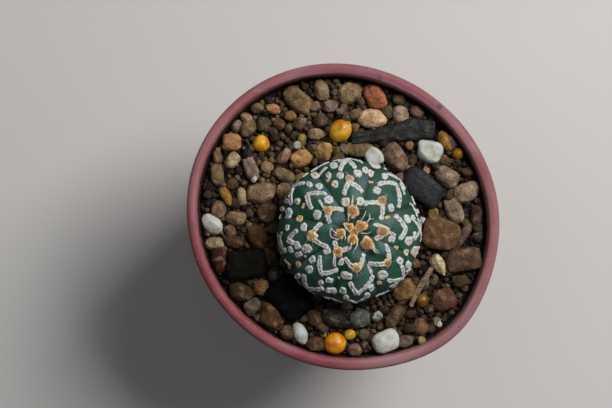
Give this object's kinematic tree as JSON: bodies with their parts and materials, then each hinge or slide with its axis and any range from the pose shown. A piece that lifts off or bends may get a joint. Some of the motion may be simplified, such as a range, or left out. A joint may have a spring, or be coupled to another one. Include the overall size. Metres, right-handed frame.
{
  "type": "potted star cactus",
  "caption": "Low domed star cactus with shallow ribs, white chevron flecks and woolly tufts, set in mixed gravel in a small round tapered pot with a folded rim.",
  "frame": {"origin": "middle of the pot's base, on the surface that it stands on", "axes": "+Z up through the pot, +X to the right and +Y up in a picture taken from straight above"},
  "size_m": [0.0643, 0.063, 0.0667],
  "materials": {
    "pot_plastic": "matte dusty pink, slightly mottled",
    "soil": "crumbly dark potting soil",
    "gravel": "rough mixed tan and brown grit",
    "cactus_skin": "matte waxy green skin",
    "cactus_flecks": "felted white flecks",
    "areole_wool": "short tan wool",
    "charcoal": "matte black, slightly fibrous",
    "twig_wood": "dry weathered wood",
    "brown_stone": "porous matte",
    "white_stone": "smooth matte",
    "prill_coat": "glossy resin coat",
    "red_stone": "porous matte",
    "orange_stone": "fine matte",
    "cream_stone": "fine matte"
  },
  "bodies": {
    "root": {"pot": "pot_plastic", "soil": "soil", "gravel_bed": "gravel", "cactus": "cactus_skin", "charcoal_bar": "charcoal", "charcoal_chunk_east": "charcoal", "charcoal_chunk_west": "charcoal", "charcoal_chunk_south": "charcoal", "twig": "twig_wood", "stone_brown_east": "brown_stone", "stone_brown_southeast": "brown_stone", "stone_white_northeast": "white_stone", "stone_white_west": "white_stone", "stone_white_south": "white_stone", "stone_white_southwest": "white_stone", "stone_white_north": "white_stone", "prill_northwest": "prill_coat", "prill_north": "prill_coat", "prill_south": "prill_coat", "prill_south_small": "prill_coat", "prill_southeast": "prill_coat", "prill_northeast": "prill_coat", "stone_red_north": "red_stone", "stone_red_southeast": "red_stone", "stone_orange_north": "orange_stone", "stone_cream_east": "cream_stone", "stone_cream_northeast": "cream_stone"}
  },
  "joints": []
}
